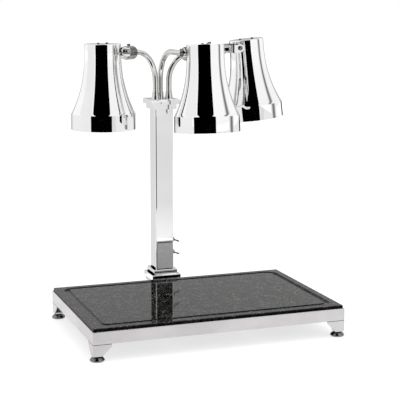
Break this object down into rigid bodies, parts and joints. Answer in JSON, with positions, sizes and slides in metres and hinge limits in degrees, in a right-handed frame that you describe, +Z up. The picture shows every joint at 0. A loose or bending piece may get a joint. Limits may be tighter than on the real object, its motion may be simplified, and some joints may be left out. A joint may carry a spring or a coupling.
{
  "type": "heat lamp warmer",
  "caption": "Carving station: bell-shaped heat lamps on bent arms over a stone board with a juice groove, held by a square post at the back of a footed steel frame.",
  "frame": {"origin": "centre of the base frame, on the surface that its feet stand on", "axes": "+Z up, +X to the right along the frame's long side, -Y to the front, away from the post"},
  "size_m": [0.6293, 0.5039, 0.6891],
  "materials": {
    "polished_frame": "satin polished stainless steel",
    "chrome": "mirror chrome",
    "granite": "polished black speckled granite",
    "rubber": "matt",
    "steel": "bright zinc plated",
    "porcelain": "glazed white",
    "bulb_glass": "red lacquered infrared bulb with a silvered back",
    "black_plastic": "moulded",
    "cream_plastic": "moulded"
  },
  "bodies": {
    "base": {"front_rail": "polished_frame", "back_rail": "polished_frame", "left_rail": "polished_frame", "right_rail": "polished_frame", "leg_front_left": "polished_frame", "leg_front_right": "polished_frame", "leg_back_left": "polished_frame", "leg_back_right": "polished_frame", "board_pads": "rubber", "board_supports": "polished_frame", "rear_bracket": "polished_frame", "bracket_screws": "chrome", "plinth_lower": "chrome", "plinth_upper": "chrome", "post": "chrome", "cap_collar": "chrome", "cap_plate": "chrome", "tie_rod": "steel", "ferrule_left": "chrome", "ferrule_centre": "chrome", "ferrule_right": "chrome", "terminal_block": "cream_plastic", "cord_gland": "black_plastic", "switch_bodies": "black_plastic", "switch_nuts": "chrome"},
    "board": {"board": "granite"},
    "lower_lever": {"lower_lever": "chrome"},
    "upper_lever": {"upper_lever": "chrome"},
    "foot_front_left": {"foot_front_left": "chrome"},
    "foot_front_right": {"foot_front_right": "chrome"},
    "foot_back_left": {"foot_back_left": "chrome"},
    "foot_back_right": {"foot_back_right": "chrome"},
    "arm_left": {"arm_tube_left": "chrome", "arm_nut_left": "steel", "sleeve_left": "chrome", "clamp_screw_left": "chrome", "yoke_left": "chrome"},
    "lamp_left": {"shade_left": "chrome", "socket_left": "porcelain", "bulb_left": "bulb_glass", "lamp_screws_left": "chrome"},
    "arm_centre": {"arm_tube_centre": "chrome", "arm_nut_centre": "steel", "sleeve_centre": "chrome", "clamp_screw_centre": "chrome", "yoke_centre": "chrome"},
    "lamp_centre": {"shade_centre": "chrome", "socket_centre": "porcelain", "bulb_centre": "bulb_glass", "lamp_screws_centre": "chrome"},
    "arm_right": {"arm_tube_right": "chrome", "arm_nut_right": "steel", "sleeve_right": "chrome", "clamp_screw_right": "chrome", "yoke_right": "chrome"},
    "lamp_right": {"shade_right": "chrome", "socket_right": "porcelain", "bulb_right": "bulb_glass", "lamp_screws_right": "chrome"}
  },
  "joints": [
    {"name": "board_lift", "type": "slide", "parent": "base", "child": "board", "axis": [0, 0, 1], "range_m": [0, 0.03]},
    {"name": "foot_screw_front_left", "type": "slide", "parent": "base", "child": "foot_front_left", "axis": [0, 0, -1], "range_m": [0, 0.006]},
    {"name": "foot_screw_front_right", "type": "slide", "parent": "base", "child": "foot_front_right", "axis": [0, 0, -1], "range_m": [0, 0.006]},
    {"name": "foot_screw_back_left", "type": "slide", "parent": "base", "child": "foot_back_left", "axis": [0, 0, -1], "range_m": [0, 0.006]},
    {"name": "foot_screw_back_right", "type": "slide", "parent": "base", "child": "foot_back_right", "axis": [0, 0, -1], "range_m": [0, 0.006]},
    {"name": "lower_switch", "type": "hinge", "parent": "base", "child": "lower_lever", "pos_m": [0.029, 0.251, 0.133], "axis": [0, -1, 0], "range_deg": [0, 44]},
    {"name": "upper_switch", "type": "hinge", "parent": "base", "child": "upper_lever", "pos_m": [0.029, 0.251, 0.1665], "axis": [0, -1, 0], "range_deg": [0, 44]},
    {"name": "left_arm_swing", "type": "hinge", "parent": "base", "child": "arm_left", "pos_m": [-0.018, 0.243, 0.5354], "axis": [0, 0, 1], "range_deg": [-40, 10]},
    {"name": "left_lamp_tilt", "type": "hinge", "parent": "arm_left", "child": "lamp_left", "pos_m": [-0.16217, 0.14205, 0.663], "axis": [-0.5736, 0.8192, 0], "range_deg": [-10, 25]},
    {"name": "centre_arm_swing", "type": "hinge", "parent": "base", "child": "arm_centre", "pos_m": [0, 0.259, 0.5354], "axis": [0, 0, 1], "range_deg": [-10, 20]},
    {"name": "centre_lamp_tilt", "type": "hinge", "parent": "arm_centre", "child": "lamp_centre", "pos_m": [0.01772, 0.00562, 0.663], "axis": [-0.9976, -0.0698, 0], "range_deg": [-13.5, 21.5]},
    {"name": "right_arm_swing", "type": "hinge", "parent": "base", "child": "arm_right", "pos_m": [0.018, 0.243, 0.5354], "axis": [0, 0, 1], "range_deg": [-15, 40]},
    {"name": "right_lamp_tilt", "type": "hinge", "parent": "arm_right", "child": "lamp_right", "pos_m": [0.19319, 0.22613, 0.663], "axis": [-0.0958, -0.9954, 0], "range_deg": [-16, 19]}
  ]
}
